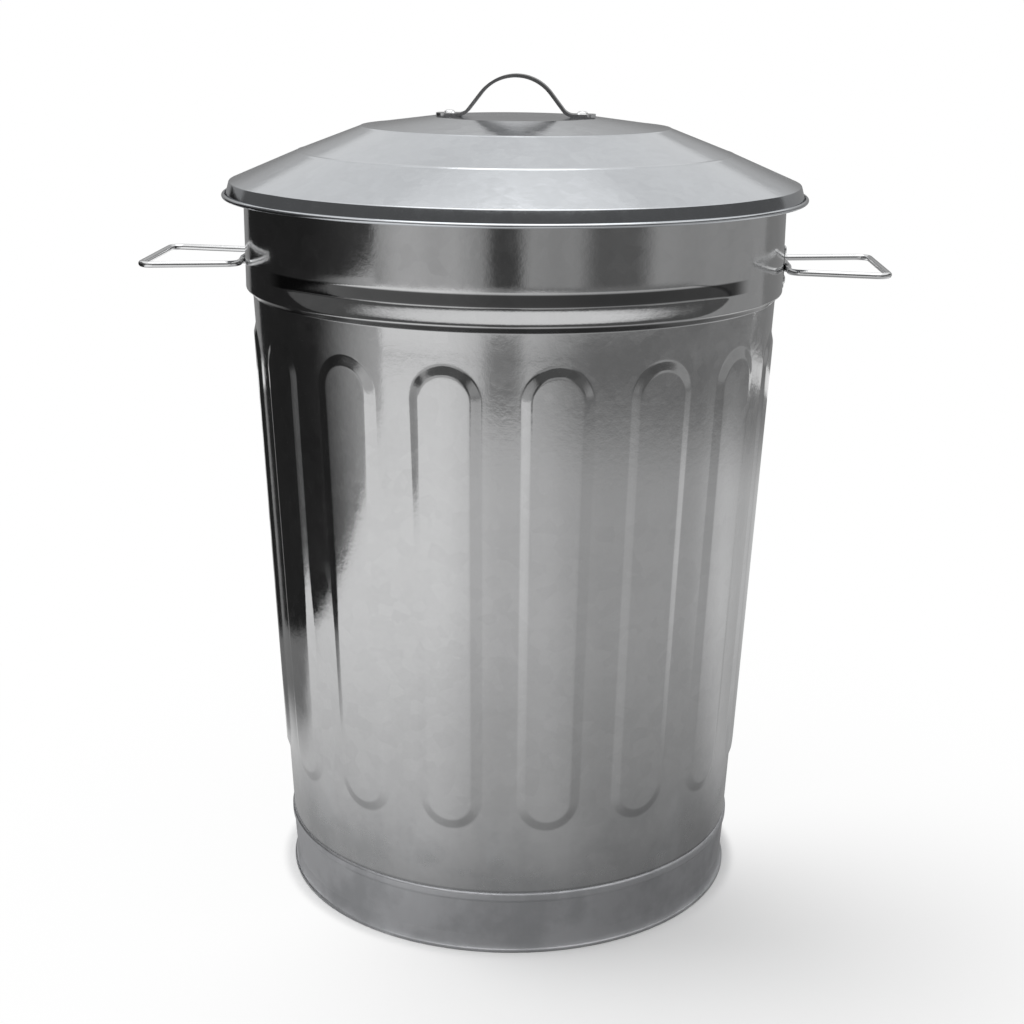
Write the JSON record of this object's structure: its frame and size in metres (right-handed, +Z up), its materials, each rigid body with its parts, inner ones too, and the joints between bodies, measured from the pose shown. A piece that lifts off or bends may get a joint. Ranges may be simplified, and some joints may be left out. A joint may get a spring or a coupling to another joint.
{
  "type": "trash can with lid",
  "caption": "Round tapered galvanized steel trash can with raised vertical flutes, a swaged band, a rolled rim, side bail handles and a shallow domed lift-off lid with a strap handle.",
  "frame": {"origin": "on the floor under the axis of the can", "axes": "+Z up along the axis of the can, +X and -X through the two side handles, -Y towards the front, opposite the lap seam"},
  "size_m": [0.5972, 0.47, 0.673],
  "materials": {
    "zinc_sheet": "satin",
    "zinc_wire": "satin",
    "zinc_rivet": "satin"
  },
  "bodies": {
    "can": {"base_ring": "zinc_sheet", "floor_pan": "zinc_sheet", "body_shell": "zinc_sheet", "rim_wire": "zinc_wire", "ear_left": "zinc_sheet", "ear_right": "zinc_sheet", "ear_left_rivet_upper": "zinc_rivet", "ear_left_rivet_lower": "zinc_rivet", "ear_right_rivet_upper": "zinc_rivet", "ear_right_rivet_lower": "zinc_rivet"},
    "lid": {"lid_shell": "zinc_sheet", "lid_handle": "zinc_sheet", "lid_handle_rivet_left": "zinc_rivet", "lid_handle_rivet_right": "zinc_rivet"},
    "bail_left": {"handle_left": "zinc_wire"},
    "bail_right": {"handle_right": "zinc_wire"}
  },
  "joints": [
    {"name": "lid_lift", "type": "slide", "parent": "can", "child": "lid", "axis": [0, 0, 1], "range_m": [0, 0.3]},
    {"name": "bail_left_swing", "type": "hinge", "parent": "can", "child": "bail_left", "pos_m": [-0.2201, 0, 0.5247], "axis": [0, 1, 0], "range_deg": [-90, 70]},
    {"name": "bail_right_swing", "type": "hinge", "parent": "can", "child": "bail_right", "pos_m": [0.2201, 0, 0.5247], "axis": [0, -1, 0], "range_deg": [-90, 70]}
  ]
}
